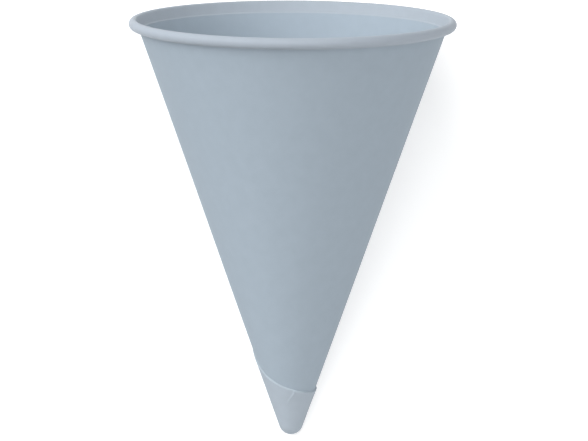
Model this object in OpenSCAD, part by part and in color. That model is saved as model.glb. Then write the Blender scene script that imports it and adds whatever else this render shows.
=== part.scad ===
// Cone paper cup with a rolled rim, lying on its side as it comes to rest.
// One paper blank is wound into a cone. Its last cut edge runs down the wall, sweeps once round the
// tip and closes it with a second ply. The mouth is rolled outwards into a hollow curl.
// The mouth faces +Y, the tip faces -Y, and the floor is at Z = 0.

/* [Cone] */
// Outside diameter over the rolled rim
rim_d = 73; // [60:0.5:90]
// Height along the cup's own axis, from the end of the tip to the top of the rolled rim
cup_h = 93.4; // [80:0.1:115]
// Outside radius of the rounded tip, over its outer ply
tip_r = 2.7; // [2:0.1:4]
// Thickness of the paper
paper_t = 0.25; // [0.18:0.01:0.35]

/* [Rolled rim] */
// Outside diameter of the curl
curl_d = 2.3; // [1.8:0.05:3]
// How far the paper has turned at the free edge of the curl, in degrees from the cup's axis
curl_turn = 295; // [240:5:300]
// Radius of the tight brow where the collar turns over into the curl, in the middle of the paper
brow_r = 0.45; // [0.3:0.05:0.7]
// Lean of the collar inside the rim, in degrees from the cup's axis
collar_lean = 20; // [10:1:30]
// Depth of the crease, where the cone ends, under the top of the rim
crease_depth = 2.65; // [2.3:0.05:3.5]
// Outward step of the wall between the crease and the collar
shoulder_w = 0.2; // [0.1:0.05:0.5]
// Lean of the wall on that step, in degrees from the cup's axis
shoulder_lean = 45; // [30:1:60]

/* [Wound edge] */
// Height of the blank's cut edge over the end of the tip, at its lowest point
edge_h = 9.9; // [7:0.1:20]
// Direction of that lowest point, in degrees to the right of the side that faces up
edge_turn = 52.5; // [0:0.5:90]
// Width of the lap under the rolled rim
lap_w = 10; // [6:0.5:16]
// Width of the slope where the outer ply comes down beside the lap, under the rolled rim
lap_slope_w = 3; // [2:0.25:5]

/* [Hidden] */

// Steps along the round stretches of the section, and along the cut edge
tip_steps = 12;
brow_steps = 8;
curl_steps = 24;
edge_steps = 60;
slope_steps = 6;
// Faces round the cup
$fn = 128;
// How far a cutting shape runs past what it cuts
cut_over = 0.1;
// Angles of a right angle, of a half turn and of a whole turn
right_angle = 90;
half_turn = 180;
whole_turn = 360;

// The section is the middle line of the paper, [radius, height], with a face on each side of it
half_t = paper_t / 2;
// The outer ply lies on the wall, one paper thickness further out
ply_lift = half_t + paper_t;

// Middle of the curl, and the radius of the paper's middle line in it
curl_r = curl_d / 2;
curl_mid_r = curl_r - half_t;
curl_centre = [rim_d / 2 - curl_r, cup_h - curl_r];

// The brow meets the curl at the top of the rim, and the collar leans up against the brow
brow_centre = [curl_centre.x, cup_h - half_t - brow_r];
collar_top = brow_centre - brow_r * outward(collar_lean);

// Corners of the middle line: the foot of the collar, and the crease
crease_z = cup_h - crease_depth;
collar_foot_z = crease_z + shoulder_w / tan(shoulder_lean);
collar_foot = [collar_top.x - (collar_top.y - collar_foot_z) * tan(collar_lean), collar_foot_z];
crease = [collar_foot.x - shoulder_w, crease_z];

// Middle of the rounded tip, and the radius of the wall's middle line in it
tip_centre = [0, tip_r];
tip_mid_r = tip_r - ply_lift;

// The wall runs from the tip's round to the crease and touches that round
wall_run = crease - tip_centre;
wall_lean = atan2(wall_run.x, wall_run.y) - asin(tip_mid_r / norm(wall_run));

// Outer face of the outer ply, unrolled: distances are measured on the slope from the cone's apex
apex_z = tip_centre.y - tip_r / sin(wall_lean);
turn_scale = sin(wall_lean);
edge_near = (edge_h - apex_z) / cos(wall_lean);
lap_top = (crease.y - apex_z) / cos(wall_lean);
cut_top = lap_top + cut_over;
rim_arc = 2 * PI * crease.x / whole_turn;

// Turn from the edge's lowest point back to where it leaves the wall, and on to the lap's other side
edge_first = -acos(edge_near / cut_top) / turn_scale;
lap_slope_turn = lap_slope_w / rim_arc;
lap_side = edge_first + whole_turn - lap_w / rim_arc;
edge_last = lap_side - 2 * lap_slope_turn;

// The region over the cut edge runs past both faces of the ply, and leans back along the lap's slope
cut_inside = -ply_lift - cut_over;
cut_outside = cut_over;
slope_inside = lap_side + lap_slope_turn * (paper_t + cut_inside) / paper_t;
slope_outside = lap_side + lap_slope_turn * (paper_t + cut_outside) / paper_t;

// The cup rests on the round of its tip and on the lowest point of its curl
rest_run = curl_centre - tip_centre;
rest_lean = atan2(rest_run.x, rest_run.y) - asin((tip_r - curl_r) / norm(rest_run));
rest_lift = tip_r - tip_centre.y * sin(rest_lean);
rest_tip_y = tip_centre.y * cos(rest_lean) - tip_r;
rest_rim_y = curl_centre.y * cos(rest_lean) + curl_centre.x * sin(rest_lean) + curl_r;

// A value that lies a share of the way from one value to another
function between(from, to, share) = from + (to - from) * share;

// Outward direction from a wall that leans outwards
function outward(lean) = [cos(lean), -sin(lean)];

// Points of an arc in the section, from its first step or a later one
function arc(centre, radius, from, to, steps, first = 0) =
    [for (i = [first : steps]) let (a = between(from, to, i / steps)) centre + radius * [cos(a), sin(a)]];

// A corner of the middle line between two leans, moved out by lift
function corner(at, lean_below, lean_above, lift) =
    let (below = outward(lean_below), above = outward(lean_above))
    at + lift * (below + above) / (1 + below * above);

// Lines that run a distance of lift outside the middle line
function tip_line(lift) =
    arc(tip_centre, tip_mid_r + lift, -right_angle, -wall_lean, tip_steps);

function wall_line(lift) = concat(
    tip_line(lift),
    [crease + lift * outward(wall_lean)]
);

function paper_line(lift) = concat(
    tip_line(lift),
    [corner(crease, wall_lean, shoulder_lean, lift)],
    [corner(collar_foot, shoulder_lean, collar_lean, lift)],
    arc(brow_centre, brow_r - lift, half_turn - collar_lean, right_angle, brow_steps),
    arc(curl_centre, curl_mid_r - lift, right_angle, half_turn - curl_turn, curl_steps, 1)
);

function backwards(line) = [for (i = [len(line) - 1 : -1 : 0]) line[i]];

// The wall: rounded tip, cone, crease, collar and open curl in one bent strip
module wall() {
    rotate_extrude()
        polygon(concat(paper_line(half_t), backwards(paper_line(-half_t))));
}

// A point near the ply's outer face: distance down the slope, turn from the edge's lowest point, lift
function on_ply(slope, turn, lift) =
    let (r = slope * sin(wall_lean) + lift * cos(wall_lean), a = edge_turn + turn - right_angle)
    [r * cos(a), r * sin(a), apex_z + slope * cos(wall_lean) - lift * sin(wall_lean)];

// The cut edge is straight on the flat blank, so on the cone its distance from the apex follows a cosine
function edge_slope(turn) = edge_near / cos(turn * turn_scale);

// One step of the region over the cut edge, as a four-sided ring: low inside, low outside, high outside,
// high inside
function edge_ring(turn_inside, turn_outside) = [
    on_ply(edge_slope(turn_inside), turn_inside, cut_inside),
    on_ply(edge_slope(turn_outside), turn_outside, cut_outside),
    on_ply(cut_top + cut_over, turn_outside, cut_outside),
    on_ply(cut_top + cut_over, turn_inside, cut_inside)
];

// A body that runs through a row of such rings
module ring_body(rings) {
    sides = len(rings[0]);
    last = len(rings) - 1;
    polyhedron(
        points = [for (ring = rings) each ring],
        faces = concat(
            [[for (k = [sides - 1 : -1 : 0]) k]],
            [for (i = [0 : last - 1], k = [0 : sides - 1])
                let (a = i * sides + k, b = i * sides + (k + 1) % sides)
                each [[a, b, a + sides], [b, b + sides, a + sides]]],
            [[for (k = [0 : sides - 1]) last * sides + k]]
        )
    );
}

// All that lies over the blank's cut edge, where the wall is a single ply
module above_edge() {
    ring_body(concat(
        [for (i = [0 : edge_steps])
            let (turn = between(edge_first, edge_last, i / edge_steps))
            edge_ring(turn, turn)],
        [for (i = [1 : slope_steps])
            edge_ring(
                between(edge_last, slope_inside, i / slope_steps),
                between(edge_last, slope_outside, i / slope_steps)
            )]
    ));
}

// The outer ply: it wraps the tip and laps the wall up to the crease
module outer_ply() {
    difference() {
        rotate_extrude()
            polygon(concat(wall_line(ply_lift), backwards(wall_line(0))));
        above_edge();
    }
}

module cone_cup() {
    color([0.67, 0.72, 0.77])
        translate([0, -(rest_tip_y + rest_rim_y) / 2, rest_lift])
            rotate([rest_lean - right_angle, 0, 0]) {
                wall();
                outer_ply();
            }
}

cone_cup();
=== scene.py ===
# %% [markdown]
# # A paper cone cup, wound from one blank
#
# A cone cup starts as a flat piece of paper. A machine winds it round a steel cone, glues it along
# its lap, and rolls the mouth outwards over a ring. In this lesson we make that paper again as one
# fine mesh, with its bends, its lap and its cut edges, and then give it a finish that looks like
# paper.
#
# The frame already holds the cup as a plain solid at its real size. It lies on its side, because a
# cone can't stand on its tip. Everything here is worked out in that frame, so nothing has to be
# fitted later.

# %% Load the frame
import math

import bmesh
import bpy
import numpy as np
from mathutils import Matrix, Vector


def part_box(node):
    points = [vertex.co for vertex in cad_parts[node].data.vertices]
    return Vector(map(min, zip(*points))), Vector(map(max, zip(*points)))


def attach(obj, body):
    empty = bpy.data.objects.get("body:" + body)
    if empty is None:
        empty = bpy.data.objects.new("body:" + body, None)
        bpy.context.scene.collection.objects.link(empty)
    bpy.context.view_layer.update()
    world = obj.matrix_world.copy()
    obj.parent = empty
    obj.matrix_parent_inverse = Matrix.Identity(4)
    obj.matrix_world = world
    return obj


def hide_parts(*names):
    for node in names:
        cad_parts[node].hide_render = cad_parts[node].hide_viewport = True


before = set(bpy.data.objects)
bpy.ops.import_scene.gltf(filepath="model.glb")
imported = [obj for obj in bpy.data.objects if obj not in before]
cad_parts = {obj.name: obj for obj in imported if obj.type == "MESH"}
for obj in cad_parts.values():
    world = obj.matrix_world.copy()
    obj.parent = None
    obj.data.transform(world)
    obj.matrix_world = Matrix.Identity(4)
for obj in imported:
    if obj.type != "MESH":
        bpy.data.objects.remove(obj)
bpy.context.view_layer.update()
print("solids in the frame:", sorted(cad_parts))

# %% [markdown]
# ## Sizes
#
# A cup is a thing of millimetres, and the frame is in metres. It reads better to write each size as
# a maker would say it, and to turn millimetres into metres once, where points become a mesh. The
# width over the rim isn't typed again: it is read from the frame, so the mesh can't drift away from
# the solid.

# %% Sizes of the paper and the rim, in millimetres
MM = 0.001
HALF_TURN = math.pi
RIGHT_ANGLE = HALF_TURN / 2
WHOLE_TURN = 2 * HALF_TURN

cup_low, cup_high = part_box("cone_cup")
rim_width = (cup_high.x - cup_low.x) / MM
cup_height = 93.4
tip_radius = 2.7
paper = 0.25
curl_width = 2.3
curl_turn = math.radians(295)
brow_radius = 0.45
collar_lean = math.radians(20)
crease_depth = 2.65
shoulder_width = 0.2
shoulder_lean = math.radians(45)
bend_radius = 0.3
print(f"cup {rim_width:.1f} mm over the rim, {cup_height:.1f} mm from tip to rim")

# %% [markdown]
# ## The section: one bent strip
#
# Cut the cup in half and the paper shows as a thin bent strip: round at the tip, straight up the
# wall, a crease with a narrow shoulder, a flared collar, a tight brow at the top, and then the curl.
# Such a strip could be drawn as a list of points, but a pen that walks and bends is closer to how
# the paper is formed. The pen draws the middle line of the paper and notes the lean at every point,
# so both faces can be set off from it later.


# %% A pen that walks and bends
class SectionPen:
    """Draws the middle line of the paper: radius, height, lean from the axis, and length so far."""

    def __init__(self, radius, height, lean):
        self.points = [(radius, height, lean, 0.0)]

    def straight(self, length, steps):
        radius, height, lean, run = self.points[-1]
        for along in np.linspace(0, length, steps + 1)[1:]:
            across, up = along * math.sin(lean), along * math.cos(lean)
            self.points.append((radius + across, height + up, lean, run + along))

    def bend(self, to_lean, bend_radius, steps):
        radius, height, lean, run = self.points[-1]
        side = math.copysign(bend_radius, to_lean - lean)
        middle_r = radius + side * math.cos(lean)
        middle_z = height - side * math.sin(lean)
        for now in np.linspace(lean, to_lean, steps + 1)[1:]:
            place = (middle_r - side * math.cos(now), middle_z + side * math.sin(now))
            self.points.append((*place, now, run + side * (now - lean)))


def bend_reach(from_lean, to_lean):
    """How far a rounded corner eats into the straight stretches beside it."""
    return bend_radius * math.tan(abs(to_lean - from_lean) / 2)


# %% [markdown]
# The corners of the section follow from the sizes, each from the one before. The curl hangs on the
# width over the rim, the collar leans against the brow, and the wall runs from the crease down to
# the tip, where it just touches the tip's round.

# %% Corners of the section
half_paper = paper / 2
curl_bend = curl_width / 2 - half_paper
curl_middle = np.array([rim_width / 2 - curl_width / 2, cup_height - curl_width / 2])
brow_middle = np.array([curl_middle[0], cup_height - half_paper - brow_radius])
collar_top = brow_middle + brow_radius * np.array([-math.cos(collar_lean), math.sin(collar_lean)])
crease_height = cup_height - crease_depth
collar_rise = collar_top[1] - crease_height - shoulder_width / math.tan(shoulder_lean)
collar_foot = collar_top - collar_rise * np.array([math.tan(collar_lean), 1])
crease = np.array([collar_foot[0] - shoulder_width, crease_height])

tip_middle = np.array([0.0, tip_radius])
tip_bend = tip_radius - half_paper - paper
wall_run = crease - tip_middle
wall_lean = math.atan2(*wall_run) - math.asin(tip_bend / np.linalg.norm(wall_run))
wall_length = math.sqrt(wall_run @ wall_run - tip_bend**2)
print(f"the wall leans {math.degrees(wall_lean):.2f} degrees and is {wall_length:.1f} mm long")

# %% Draw the section
tip_steps, wall_steps, bend_steps = 14, 34, 4
collar_steps, brow_steps, curl_steps = 4, 10, 30
crease_reach = bend_reach(wall_lean, shoulder_lean)
foot_reach = bend_reach(shoulder_lean, collar_lean)

pen = SectionPen(0.0, tip_radius - tip_bend, RIGHT_ANGLE)
pen.bend(wall_lean, tip_bend, tip_steps)
pen.straight(wall_length - crease_reach, wall_steps)
collar_row = len(pen.points) - 1
pen.bend(shoulder_lean, bend_radius, bend_steps)
pen.straight(np.linalg.norm(collar_foot - crease) - (crease_reach + foot_reach), steps=1)
pen.bend(collar_lean, bend_radius, bend_steps)
pen.straight(collar_rise / math.cos(collar_lean) - foot_reach, collar_steps)
rim_row = len(pen.points)
pen.bend(RIGHT_ANGLE, brow_radius, brow_steps)
pen.bend(curl_turn, curl_bend, curl_steps)
section = np.array(pen.points)
print(f"section: {len(section)} points, {section[-1, 3]:.1f} mm of paper from tip to free edge")

# %% [markdown]
# ## Laying the cup down
#
# The section is drawn with the cup's axis upright, which is how a cup is thought of. The cup itself
# rests on the round of its tip and on the lowest point of its curl. A line that touches both rounds
# gives the angle, and the frame gives the place, because the tip's round touches the low ends of the
# solid's box.

# %% From the upright cup to the lying one
rest_run = curl_middle - tip_middle
rounds_gap = tip_radius - curl_width / 2
rest_lean = math.atan2(*rest_run) - math.asin(rounds_gap / np.linalg.norm(rest_run))
tilt = rest_lean - RIGHT_ANGLE
tip_place = np.array([0.0, cup_low.y / MM + tip_radius, cup_low.z / MM + tip_radius])


def lay_down(radius, height, turn):
    """Points of the lying cup in metres. Turn 0 faces up, and turns run to the right."""
    x = radius * np.sin(turn)
    y = -radius * np.cos(turn)
    z = height - tip_middle[1] + 0 * turn
    lying = [
        x + tip_place[0],
        y * math.cos(tilt) - z * math.sin(tilt) + tip_place[1],
        y * math.sin(tilt) + z * math.cos(tilt) + tip_place[2],
    ]
    return np.stack(np.broadcast_arrays(*lying), axis=-1) * MM


print(f"the axis rises {math.degrees(rest_lean):.2f} degrees from the floor")

# %% [markdown]
# ## The flat blank as a map
#
# A cone unrolls flat without stretching, so the blank itself is the best texture map a paper cup can
# have: every point gets the place it had on the flat sheet before winding. Fibres drawn on that map
# then follow the sheet round the cone, as they do on a real cup. The map is in metres, like the mesh.

# %% Places on the flat blank
unroll = math.sin(wall_lean)
blank_start = tip_bend / math.tan(wall_lean) - tip_bend * (RIGHT_ANGLE - wall_lean)


def on_blank(slope, turn):
    """Place on the flat sheet of a point at a distance from the cone's apex, down its slope."""
    across = slope * np.sin(turn * unroll)
    along = slope * np.cos(turn * unroll)
    return np.stack(np.broadcast_arrays(across, along), axis=-1) * MM


print(f"one turn of the wall takes {math.degrees(WHOLE_TURN * unroll):.0f} degrees of the flat sheet")

# %% [markdown]
# ## A mesh made of grids
#
# Paper is two faces and a cut edge. Each of these is a grid of points, so one small collector is
# enough: it turns grids into quads, keeps each corner's place on the blank, and remembers the
# finish. Grids that share a border are welded afterwards, which closes the sheet into one skin.

# %% A collector for grids
WALL_PAPER, PLY_PAPER, CUT_EDGE, PRESSED_COLLAR, ROLLED_RIM = range(5)


class PaperGrids:
    """Grids of points as quads, each with its places on the blank and its finish."""

    def __init__(self):
        self.points, self.faces, self.places, self.finishes = [], [], [], []
        self.count = 0

    def add(self, points, places, finish):
        rows, columns = points.shape[:2]
        number = self.count + np.arange(rows * columns).reshape(rows, columns)
        corners = [number[:-1, :-1], number[:-1, 1:], number[1:, 1:], number[1:, :-1]]
        quads = np.stack(corners, axis=-1).reshape(-1, 4)
        self.points.append(points.reshape(-1, 3))
        self.places.append(places.reshape(-1, 2)[quads - self.count])
        self.faces.append(quads)
        self.finishes.append(np.full(len(quads), finish))
        self.count += rows * columns


cup_paper = PaperGrids()

# %% [markdown]
# ## Small unevenness
#
# A wound cone is never quite true: the glue, the lap and the stack it came from leave it a tenth of
# a millimetre out here and there. Low down the wall bulges a little, more so on the left, and higher
# up it draws in. A few slow waves round the cup let the light run over it softly. At the tip all of
# this dies away. At the rim, which the curl holds nearly round, the paper only draws in by a few
# hundredths, so that it stays inside the solid's box. A noise could do the same, but with waves we
# know how far the paper moves.

# %% Slow waves on the wall
bulge_depth, bulge_left = 0.05, 0.025
wave_depth, wave_twist = 0.05, 2
rim_wave_depth = 0.05
waves = ((2, 0.7, 1.0), (3, 2.1, 0.7), (5, 0.4, 0.35))


def unevenness(radius, height, turn):
    """How far the paper lies outside the true cone, in millimetres."""
    up = np.clip(height / crease[1], 0, 1)
    bulge = (bulge_depth - bulge_left * np.sin(turn)) * np.sin(up * WHOLE_TURN)
    total = sum(weight for _, _, weight in waves)
    wave = sum(
        weight * np.cos(count * turn + start + wave_twist * up) for count, start, weight in waves
    ) / total
    on_wall = wave_depth * np.sin(up * HALF_TURN) * wave
    at_rim = rim_wave_depth * up**2 * (1 - wave) / 2
    return (bulge + on_wall - at_rim) * np.clip(radius / tip_radius, 0, 1)


# %% [markdown]
# ## The wall
#
# The wall is the section turned round the axis. Blender's Screw modifier could do that, but the grid
# keeps the blank's map and lets the paper be a little uneven. The two faces lie half a paper
# thickness either side of the middle line, and the free edge in the curl closes them. The pressed
# collar and the rolled rim are the same sheet, but the machine has worked them, so they are noted
# down for finishes of their own.

# %% Wind the wall
wall_columns = 192
seam_turn = math.radians(165)
turns = np.linspace(seam_turn - WHOLE_TURN, seam_turn, wall_columns + 1)[None, :]
radius, height, lean, run = (section[:, [k]] for k in range(4))
out_of_true = unevenness(radius, height, turns)


def wall_face(lift, rows):
    """A face of the wall, set off from the paper's middle line."""
    face_r = radius[rows] + lift * np.cos(lean[rows])
    face_z = height[rows] - lift * np.sin(lean[rows])
    return lay_down(face_r + out_of_true[rows], face_z, turns)


wall_places = on_blank(blank_start + run, turns - seam_turn)
stretches = (
    (slice(None, collar_row + 1), WALL_PAPER),
    (slice(collar_row, rim_row + 1), PRESSED_COLLAR),
    (slice(rim_row, None), ROLLED_RIM),
)
for lift in (half_paper, -half_paper):
    for rows, finish in stretches:
        cup_paper.add(wall_face(lift, rows), wall_places[rows], finish)

last_row = slice(-1, None)
free_edge = np.concatenate([wall_face(lift, last_row) for lift in (half_paper, -half_paper)])
cup_paper.add(free_edge, np.concatenate([wall_places[last_row]] * 2), CUT_EDGE)
print("wall grid:", wall_places.shape[:2])
print(f"the wall is out of true by {out_of_true.min():.2f} to {out_of_true.max():.2f} mm")

# %% [markdown]
# ## The wound edge
#
# The blank ends in a straight cut. Wound round the cone, that straight line becomes a curve: it comes
# down the back of the wall as the lap seam, sweeps once round the tip and closes it with a second
# ply. On the flat sheet its distance from the apex is the nearest distance divided by a cosine, so no
# points have to be traced: the one formula gives the whole edge.
#
# Turns are now counted from the edge's lowest point. The ply has two parts: a skirt that goes all
# round the tip, and above it a strip that runs up the lap to the crease.

# %% Where the cut edge runs
edge_height = 9.9
edge_turn = math.radians(52.5)
lap_width = 10.0
lap_slope_width = 3.0

ply_apex = tip_radius - tip_radius / math.sin(wall_lean)
edge_near = (edge_height - ply_apex) / math.cos(wall_lean)
lap_top = (crease[1] - ply_apex) / math.cos(wall_lean)
edge_first = -math.acos(edge_near / lap_top) / unroll
lap_side = edge_first - lap_width / crease[0]
skirt_turn = lap_side + WHOLE_TURN
slope_turn = lap_slope_width / crease[0]


def edge_slope(turn):
    """Distance of the cut edge from the apex, down the slope."""
    return edge_near / np.cos(turn * unroll)


skirt_top = edge_slope(skirt_turn)
print(f"the edge reaches the rim {math.degrees(-edge_first):.0f} degrees from its lowest point")

# %% [markdown]
# ## The outer ply
#
# The second ply lies on the wall, one paper thickness further out. Its cut edge isn't square to the
# sheet: it slants, so the inner face reaches a little further than the outer one, more on the left
# than on the right. That slant is the light line that runs round the tip. A plain square edge would
# be easier, but from above it could hardly be seen.

# %% Where the ply ends
edge_slant, edge_slant_right = 0.36, 0.16
edge_fade = math.radians(30)


def smooth_step(value):
    """0 below 0, 1 above 1, and a soft rise in between."""
    share = np.clip(value, 0, 1)
    return share * share * (3 - 2 * share)


def open_edge(turn):
    """Where the ply ends, down the slope: at its cut edge, or at the crease along the lap."""
    return np.where(turn > edge_first, edge_slope(turn.clip(edge_first)), lap_top)


def to_the_right(turn):
    """0 on the left of the side that faces up, 1 from the edge's lowest point on."""
    return smooth_step((turn + edge_turn) / edge_turn)


def beside_lap(turn):
    """0 on the lap's far side, 1 where its slope has ended."""
    return smooth_step((turn - lap_side) / slope_turn)


def before_lap(turn):
    """1 round the tip, 0 where the edge runs in under the lap."""
    return smooth_step((skirt_turn - turn) / edge_fade)


def face_edge(turn, outside):
    """Where a face of the ply ends. The cut slants, so the inner face reaches further."""
    if outside:
        return open_edge(turn)
    slant = edge_slant + (edge_slant_right - edge_slant) * to_the_right(turn)
    return np.minimum(open_edge(turn) + slant * beside_lap(turn) * before_lap(turn), lap_top)


print(f"the cut slants by {edge_slant} mm on the left and {edge_slant_right} mm on the right")

# %% [markdown]
# The ply isn't equally thick everywhere. At its cut edge it stands a little proud of the wall, most
# on the right. Beside the lap it comes down to the wall in a soft slope, because there the sheet is
# pulled over the edge that lies under it.

# %% Thickness of the ply
glue_gap = 0.008
edge_rise, edge_rise_right, edge_rise_run = 0.02, 0.08, 2.6


def ply_thickness(slope, turn):
    """Thickness of the ply: it thins out beside the lap, and swells a little at its cut edge."""
    under_skirt = 1 - smooth_step((slope - skirt_top) / lap_slope_width)
    full = beside_lap(turn) + (1 - beside_lap(turn)) * under_skirt
    near_edge = np.exp(-(((open_edge(turn) - slope) / edge_rise_run) ** 2))
    rise = (edge_rise + edge_rise_right * to_the_right(turn)) * before_lap(turn) * near_edge
    return (paper - glue_gap + rise) * full


print(f"the ply is {paper - glue_gap:.3f} mm thick, and up to {edge_rise + edge_rise_right} mm proud")

# %% [markdown]
# A small fold runs down from the cut edge, where the tip was pinched shut. It could be drawn into the
# bump of the finish, but as a shape it catches the light rightly from every side. On the flat blank
# it is a short straight line, steep on its left side and long on its right, and it fades downwards.

# %% The small fold
fold_from = (16.7, math.radians(-45))
fold_to = (14.4, math.radians(-59))
fold_height, fold_width, fold_width_right = 0.185, 0.19, 0.75
fold_fall = 0.5


def fold_lift(slope, turn):
    """Height of the small fold under the cut edge."""
    start, end, places = (on_blank(*at) / MM for at in (fold_from, fold_to, (slope, turn)))
    line, from_start = end - start, places - start
    along = np.clip(from_start @ line / (line @ line), 0, 1)
    away = np.linalg.norm(from_start - along[..., None] * line, axis=-1)
    on_right = line[0] * from_start[..., 1] > line[1] * from_start[..., 0]
    width = np.where(on_right, fold_width_right, fold_width)
    return fold_height * (1 - fold_fall * along) * np.exp(-((away / width) ** 2))


fold_run = on_blank(*fold_to) - on_blank(*fold_from)
print(f"the fold is {np.linalg.norm(fold_run) / MM:.1f} mm long and {fold_height} mm high")

# %% [markdown]
# With its end, its thickness and its fold known, the ply is wound like the wall: one grid for each
# face of the tip, of the skirt and of the strip up the lap. Columns lie closer where the cut edge
# shows, so that its curve stays smooth.


# %% Faces of the ply
def ply_face(slope, turn, outside):
    """A face of the ply on the straight part of the cone."""
    off = glue_gap - paper
    if outside:
        off = off + ply_thickness(slope, turn) + fold_lift(slope, turn)
    face_r = slope * math.sin(wall_lean) + off * math.cos(wall_lean)
    face_z = ply_apex + slope * math.cos(wall_lean) - off * math.sin(wall_lean)
    cup_turn = turn + edge_turn
    return lay_down(face_r + unevenness(face_r, face_z, cup_turn), face_z, cup_turn)


def ply_tip(turn, outside):
    """The same face round the tip."""
    off = 0.0 if outside else glue_gap - paper
    lean = np.linspace(RIGHT_ANGLE, wall_lean, tip_steps + 1)[:, None]
    face_r = (tip_radius + off) * np.cos(lean)
    face_z = tip_middle[1] - (tip_radius + off) * np.sin(lean)
    cup_turn = turn + edge_turn
    return lay_down(face_r + unevenness(face_r, face_z, cup_turn), face_z, cup_turn)


def ply_places(slope, turn):
    """Places on the blank of the ply, which is the sheet's second turn round the cone."""
    return on_blank(slope, turn + edge_turn - seam_turn + WHOLE_TURN)


# %% Wind the ply round the tip and up the lap
skirt_rows, strip_rows = 54, 30
back_columns, front_columns = 90, 210
strip_end = -math.acos(edge_near / (skirt_top - edge_slant)) / unroll
back_turns = np.linspace(lap_side, strip_end, back_columns + 1)
front_turns = np.linspace(strip_end, skirt_turn, front_columns + 1)
ring_turns = np.concatenate([back_turns, front_turns[1:]])[None, :]
strip_turns = back_turns[None, :]

tip_tangent = tip_radius / math.tan(wall_lean)
tip_start = tip_tangent - tip_radius * (RIGHT_ANGLE - wall_lean)
tip_slopes = np.linspace(tip_start, tip_tangent, tip_steps + 1)[:, None]


def rows_between(low, high, count):
    """Distances down the slope from low to high, one row for each step."""
    return low + (high - low) * np.linspace(0, 1, count + 1)[:, None]


for outside in (True, False):
    cup_paper.add(ply_tip(ring_turns, outside), ply_places(tip_slopes, ring_turns), PLY_PAPER)
    ring_edge = np.minimum(face_edge(ring_turns, outside), skirt_top)
    strip_edge = face_edge(strip_turns, outside)
    strip_start = np.minimum(strip_edge, skirt_top)
    for slopes, around in (
        (rows_between(tip_tangent, ring_edge, skirt_rows), ring_turns),
        (rows_between(strip_start, strip_edge, strip_rows), strip_turns),
    ):
        cup_paper.add(ply_face(slopes, around, outside), ply_places(slopes, around), PLY_PAPER)
print("columns round the tip:", ring_turns.size)

# %% [markdown]
# The ply's own cut edge is a narrow band between its two faces. It shows the raw, paler inside of the
# sheet, so it gets a finish of its own. The lap's far side is closed too, but no cut shows there: the
# sheet runs on.


# %% Close the ply along its edges
def close_edge(outer_slope, inner_slope, turn, finish):
    """A band from the ply's outer face to its inner face, along a row of points."""
    faces = [ply_face(outer_slope, turn, True), ply_face(inner_slope, turn, False)]
    places = [ply_places(outer_slope, turn), ply_places(inner_slope, turn)]
    cup_paper.add(np.stack(faces), np.stack(places), finish)


for cut_turns in (front_turns, back_turns):
    close_edge(face_edge(cut_turns, True), face_edge(cut_turns, False), cut_turns, CUT_EDGE)
lap_slopes = rows_between(skirt_top, lap_top, strip_rows)[:, 0]
close_edge(lap_slopes, lap_slopes, np.full(strip_rows + 1, lap_side), PLY_PAPER)
print("points collected for the cup:", cup_paper.count)

# %% [markdown]
# ## One skin
#
# The grids still lie loose beside each other. Welding the points that fall on the same place joins
# them, and a count of open edges shows whether the skin is closed. The faces are shaded smooth,
# except where they meet at a real edge, such as the rim of a cut.

# %% Make the mesh
weld_distance = 0.001 * MM
sharp_angle = math.radians(20)


def paper_object(name, grids):
    """One mesh from the collected grids, welded along their borders."""
    mesh = bpy.data.meshes.new(name)
    mesh.from_pydata(np.concatenate(grids.points), [], np.concatenate(grids.faces).tolist())
    places = np.concatenate(grids.places).astype(np.float32)
    mesh.uv_layers.new(name="flat_blank").data.foreach_set("uv", places.ravel())
    finishes = np.concatenate(grids.finishes).astype(np.int32)
    mesh.polygons.foreach_set("material_index", finishes)
    work = bmesh.new()
    work.from_mesh(mesh)
    bmesh.ops.remove_doubles(work, verts=work.verts, dist=weld_distance)
    bmesh.ops.dissolve_degenerate(work, edges=work.edges, dist=weld_distance)
    bmesh.ops.recalc_face_normals(work, faces=work.faces)
    open_edges = sum(not edge.is_manifold for edge in work.edges)
    work.to_mesh(mesh)
    work.free()
    mesh.shade_smooth()
    mesh.set_sharp_from_angle(angle=sharp_angle)
    made = bpy.data.objects.new(name, mesh)
    bpy.context.scene.collection.objects.link(made)
    triangles = sum(len(face.vertices) - 2 for face in mesh.polygons)
    print(f"{name}: {triangles} triangles, {open_edges} open edges")
    return made


cup = paper_object("paper_cone_cup", cup_paper)

# %% [markdown]
# ## The paper
#
# Cup paper is pale, matt and a little cloudy: held to the light, the fibres lie thicker in some
# places than in others. An image of paper would do, but a few noises on the blank's map give the same
# at any size. One slow noise makes the clouds. Two long, narrow ones crossing each other make the
# fibres. They tint the colour slightly, vary the roughness and raise a shallow bump.
#
# A material is a tree of nodes. A few helpers keep that tree readable: each makes one node, sets or
# links its inputs, and hands back its output.


# %% Small node helpers
def feed(tree, value, socket):
    """Sets an input: it takes another node's output, or a plain value."""
    if isinstance(value, bpy.types.NodeSocket):
        tree.links.new(value, socket)
    else:
        socket.default_value = value


def node(tree, kind, **inputs):
    """A new node, with its inputs set by name."""
    made = tree.nodes.new(kind)
    for name, value in inputs.items():
        feed(tree, value, made.inputs[name.replace("_", " ")])
    return made


def reckoned(tree, operation, first, second):
    """The result of a sum on two values."""
    made = tree.nodes.new("ShaderNodeMath")
    made.operation = operation
    feed(tree, first, made.inputs[0])
    feed(tree, second, made.inputs[1])
    return made.outputs[0]


def blended(tree, share, first, second, blend="MIX"):
    """A share of the way from one colour to another, or to their product."""
    made = tree.nodes.new("ShaderNodeMix")
    made.data_type = "RGBA"
    made.blend_type = blend
    colour_a, colour_b = [socket for socket in made.inputs if socket.type == "RGBA"]
    feed(tree, first, colour_a)
    feed(tree, second, colour_b)
    feed(tree, share, made.inputs["Factor"])
    return next(socket for socket in made.outputs if socket.type == "RGBA")


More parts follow.
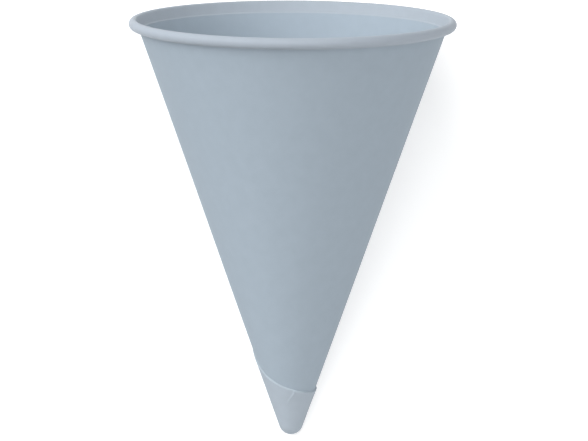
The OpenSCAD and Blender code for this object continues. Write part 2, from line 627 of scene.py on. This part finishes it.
# %% Noises on the blank
noise_roughness = 0.55
noise_low, noise_high = 0.3, 0.7


def noise(tree, place, scale, detail, turn=0.0, stretch=(1, 1, 1)):
    """A noise on the blank's map: its scale is in features for each metre."""
    moved = node(tree, "ShaderNodeMapping", Vector=place, Rotation=(0, 0, turn), Scale=stretch)
    made = node(
        tree,
        "ShaderNodeTexNoise",
        Vector=moved.outputs["Vector"],
        Scale=scale,
        Detail=detail,
        Roughness=noise_roughness,
    )
    return made.outputs["Fac"]


def spread(tree, value, low, high):
    """A noise, most of which lies between its low and high, stretched over a range."""
    made = node(
        tree,
        "ShaderNodeMapRange",
        Value=value,
        From_Min=noise_low,
        From_Max=noise_high,
        To_Min=low,
        To_Max=high,
    )
    return made.outputs["Result"]


# %% A recipe for paper
cloud_scale, cloud_detail = 330, 4
fibre_scale, fibre_detail, fibre_stretch = 2600, 3, (1, 0.16, 1)
fibre_turns = (math.radians(25), math.radians(-38))
rough_spread = 0.06
bump_strength = 0.5


def linear(red, green, blue):
    """A colour as a screen shows it (sRGB), in the linear values that shaders use."""
    colour = (red, green, blue)
    return (*(((c + 0.055) / 1.055) ** 2.4 if c > 0.04045 else c / 12.92 for c in colour), 1)


def give_paper(name, thin, thick, rough, grain, shine=0.3, painted_shade=None):
    """Gives the cup a paper: its colours where fibres lie thin and thick, and its grain in mm."""
    finish = bpy.data.materials.new(name)
    finish.use_nodes = True
    tree = finish.node_tree
    shader = tree.nodes["Principled BSDF"]
    shader.inputs["Specular IOR Level"].default_value = shine
    blank = tree.nodes.new("ShaderNodeUVMap")
    blank.uv_map = "flat_blank"
    place = blank.outputs["UV"]

    clouds = noise(tree, place, cloud_scale, cloud_detail)
    crossing = [
        noise(tree, place, fibre_scale, fibre_detail, turn, fibre_stretch) for turn in fibre_turns
    ]
    fibres = reckoned(tree, "ADD", *crossing)
    colour = blended(tree, spread(tree, clouds, 0, 1), linear(*thin), linear(*thick))
    # A painted shade, when one is given, darkens the colour where the wall lies in shade
    if painted_shade:
        colour = painted_shade(tree, place, colour)
    feed(tree, colour, shader.inputs["Base Color"])
    roughness = spread(tree, clouds, rough - rough_spread, rough + rough_spread)
    feed(tree, roughness, shader.inputs["Roughness"])

    bump = node(tree, "ShaderNodeBump", Strength=bump_strength, Distance=grain * MM)
    feed(tree, reckoned(tree, "ADD", fibres, clouds), bump.inputs["Height"])
    feed(tree, bump.outputs["Normal"], shader.inputs["Normal"])
    cup.data.materials.append(finish)
    print(f"{name}: roughness {rough}, grain {grain} mm")


# %% [markdown]
# ## The wall's paper and a painted shade along its edge
#
# Along the wound edge the wall is painted a little darker: a painted shade for the shade that the
# raised ply throws there. The edge is a straight line on the flat blank, so on the blank's map,
# turned to lie along it, the painted shade is just a narrow band of one coordinate. It is drawn on
# the right, where the edge stands open.

# %% The wall's paper
# Sizes and tint of the painted shade beside the raised edge
edge_shade_width = 1.0
edge_shade_tint = (0.92, 0.93, 0.935, 1)
edge_shade_start, edge_shade_end, edge_shade_fade = -5.0, 9.0, 3.0
edge_shade_turn = (edge_turn - seam_turn) * unroll
edge_shade_low = edge_near - (paper + half_paper) / math.tan(wall_lean)


def band(tree, value, nothing_at, full_at):
    """0 at one value and 1 at another, soft in between. Both are in millimetres."""
    made = node(tree, "ShaderNodeMapRange", From_Min=nothing_at * MM, From_Max=full_at * MM)
    made.interpolation_type = "SMOOTHSTEP"
    feed(tree, value, made.inputs["Value"])
    return made.outputs["Result"]


def painted_edge_shade(tree, place, colour):
    """The colour, with a painted shade along the wound edge, where the raised ply shades the wall."""
    turned = node(tree, "ShaderNodeMapping", Vector=place, Rotation=(0, 0, edge_shade_turn))
    parts = node(tree, "ShaderNodeSeparateXYZ", Vector=turned.outputs["Vector"])
    along, over = parts.outputs["X"], parts.outputs["Y"]
    depth = band(tree, over, edge_shade_low + edge_shade_width, edge_shade_low)
    for end, fade in ((edge_shade_start, edge_shade_fade), (edge_shade_end, -edge_shade_fade)):
        depth = reckoned(tree, "MULTIPLY", depth, band(tree, along, end, end + fade))
    return blended(tree, depth, colour, edge_shade_tint, "MULTIPLY")


# The wall's paper, with the painted shade along the raised edge
give_paper(
    "wall_paper",
    thin=(0.65, 0.703, 0.749),
    thick=(0.665, 0.718, 0.764),
    rough=0.72,
    grain=0.012,
    painted_shade=painted_edge_shade,
)

# %% [markdown]
# ## Paper that was worked
#
# The same recipe with other values gives the rest. The outer ply lies double and lets less of the
# dark inside shine through, so it is a little paler. Where the sheet is cut, its raw inside shows:
# rougher than the pressed face, with the ends of the fibres standing up. The collar and the rolled
# rim were pressed by the machine, which closes the surface: they are smoother, with a finer grain.
# One finish for all of them would be simpler, but then the rim and the wound edge would look drawn on
# instead of made. The finishes are added in the order that the grids use.

# %% Ply, cut edge, collar and rim
give_paper(
    "ply_paper", thin=(0.688, 0.73, 0.771), thick=(0.703, 0.745, 0.786), rough=0.72, grain=0.012
)
give_paper(
    "raw_paper_edge", thin=(0.68, 0.73, 0.77), thick=(0.72, 0.765, 0.8), rough=0.85, grain=0.03
)
give_paper(
    "pressed_collar", thin=(0.68, 0.718, 0.757), thick=(0.695, 0.733, 0.772), rough=0.6, grain=0.008
)
give_paper(
    "rolled_rim",
    thin=(0.675, 0.713, 0.755),
    thick=(0.69, 0.728, 0.77),
    rough=0.55,
    grain=0.008,
    shine=0.28,
)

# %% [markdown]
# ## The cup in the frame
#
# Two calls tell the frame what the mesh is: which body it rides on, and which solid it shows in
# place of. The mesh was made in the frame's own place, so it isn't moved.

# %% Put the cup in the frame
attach(cup, "root")
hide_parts("cone_cup")
print("finishes:", [material.name for material in cup.data.materials])

# %% [markdown]
# ## Floor
#
# The cup lies on a plain pale floor. For light that bounces, the floor is plain white paint. For the
# camera it is a little brighter, so that it fades to white and only the shadow beside the cup stays.
# The Light Path node tells the two apart, and no extra light falls on the cup for it.


# %% What the camera sees, and what light meets
def seen_directly(tree):
    """1 for rays from the camera and for mirror and glass rays, else 0."""
    path = tree.nodes.new("ShaderNodeLightPath").outputs
    seen_or_mirrored = reckoned(tree, "ADD", path["Is Camera Ray"], path["Is Glossy Ray"])
    return reckoned(tree, "ADD", seen_or_mirrored, path["Is Transmission Ray"])


def show(tree, plain, seen, output_kind):
    """Ends a tree: one shader for what is seen directly, and a plain one for light that bounces."""
    choice = tree.nodes.new("ShaderNodeMixShader")
    sources = (seen_directly(tree), plain.outputs[0], seen.outputs[0])
    for source, socket in zip(sources, choice.inputs):
        feed(tree, source, socket)
    node(tree, output_kind, Surface=choice.outputs[0])


# %% A pale floor
floor_paint = (0.8, 0.8, 0.8, 1)
floor_glow = 0.54
white = (1, 1, 1, 1)
floor_half = 3.0
floor_level = cup_low.z

floor_mesh = bpy.data.meshes.new("floor")
corner_signs = ((-1, -1), (1, -1), (1, 1), (-1, 1))
floor_corners = [(x * floor_half, y * floor_half, floor_level) for x, y in corner_signs]
floor_mesh.from_pydata(floor_corners, [], [(0, 1, 2, 3)])
floor = bpy.data.objects.new("floor", floor_mesh)
bpy.context.scene.collection.objects.link(floor)

floor_finish = bpy.data.materials.new("pale_floor")
floor_finish.use_nodes = True
tree = floor_finish.node_tree
tree.nodes.clear()
paint = node(tree, "ShaderNodeBsdfDiffuse", Color=floor_paint)
glow = node(tree, "ShaderNodeEmission", Color=white, Strength=floor_glow)
glowing_paint = tree.nodes.new("ShaderNodeAddShader")
feed(tree, paint.outputs[0], glowing_paint.inputs[0])
feed(tree, glow.outputs[0], glowing_paint.inputs[1])
show(tree, paint, glowing_paint, "ShaderNodeOutputMaterial")
floor.data.materials.append(floor_finish)
print("floor at", floor_level)

# %% [markdown]
# ## Light
#
# The cup is lit as in a small photo tent. A little even light comes from all round. The strongest of
# the wide soft lamps stands on the left, one hangs overhead, one beyond the mouth reaches into the
# cup, and a weak one on the right keeps that side from going dark. A smaller lamp in front and a very
# small one close to the tip lift the wrapped end. Soft light shows paper best, because a hard lamp
# would draw shadows that hide the bends.

# %% The tent's own light
tent_light, backdrop_white = 0.1, 1.0

scene = bpy.context.scene
scene.view_settings.view_transform = "Standard"
world = bpy.data.worlds.new("tent")
scene.world = world
world.use_nodes = True
tree = world.node_tree
tree.nodes.clear()
around = node(tree, "ShaderNodeBackground", Color=white, Strength=tent_light)
backdrop = node(tree, "ShaderNodeBackground", Color=white, Strength=backdrop_white)
show(tree, around, backdrop, "ShaderNodeOutputWorld")
print("light from all round:", tent_light)

# %% Soft lamps
middle = (cup_low + cup_high) / 2


def soft_lamp(name, direction, level, distance=0.9, size=0.5):
    """A square lamp that faces the cup. Level 1 lights a white card, held square to it, to white."""
    lamp_data = bpy.data.lights.new(name, "AREA")
    lamp_data.size = size
    lamp_data.energy = level * math.pi**2 * distance**2
    lamp = bpy.data.objects.new(name, lamp_data)
    away = Vector(direction).normalized()
    lamp.location = middle + away * distance
    lamp.rotation_euler = away.to_track_quat("Z", "Y").to_euler()
    scene.collection.objects.link(lamp)
    print(f"{name}: {lamp_data.energy:.2f} W at {distance} m")


soft_lamp("left_lamp", (-0.77, 0.28, 0.574), level=0.57)
soft_lamp("top_lamp", (0, 0, 1), level=0.36)
soft_lamp("mouth_lamp", (-0.2, 0.6, 0.78), level=0.3)
soft_lamp("right_lamp", (0.966, 0, 0.259), level=0.15)
soft_lamp("front_lamp", (0.45, -0.85, 0.3), level=0.25, distance=0.5, size=0.25)
soft_lamp("tip_lamp", (-0.5, -0.8, 0.3), level=0.09, distance=0.13, size=0.06)

# %% [markdown]
# ## Camera
#
# The cup lies down, so the camera looks down on it, steeply enough that the mouth opens towards it a
# little. It stands far away behind a long lens: the sides of the cone then run straight and the rim
# stays a slim ellipse.

# %% The camera
view_elevation = math.radians(77.386)
view_roll = math.radians(0.248)
view_distance = 2173.8 * MM
view_lens, film_width = 600, 36
aim_height = 30 * MM
aim_across, aim_up = 0.46 * MM, -7.13 * MM

back = Vector((0, -math.cos(view_elevation), math.sin(view_elevation)))
right = Vector((1, 0, 0))
up = back.cross(right)
aim = Vector((middle.x, middle.y, cup_low.z + aim_height)) + right * aim_across + up * aim_up
turned_right = right * math.cos(view_roll) + up * math.sin(view_roll)
turned_up = up * math.cos(view_roll) - right * math.sin(view_roll)
facing = Matrix((turned_right, turned_up, back)).transposed().to_4x4()

camera_data = bpy.data.cameras.new("camera")
camera_data.lens = view_lens
camera_data.sensor_width = film_width
camera = bpy.data.objects.new("camera", camera_data)
camera.matrix_world = Matrix.Translation(aim + back * view_distance) @ facing
scene.collection.objects.link(camera)
scene.camera = camera
print("camera at", [round(v, 3) for v in camera.location])
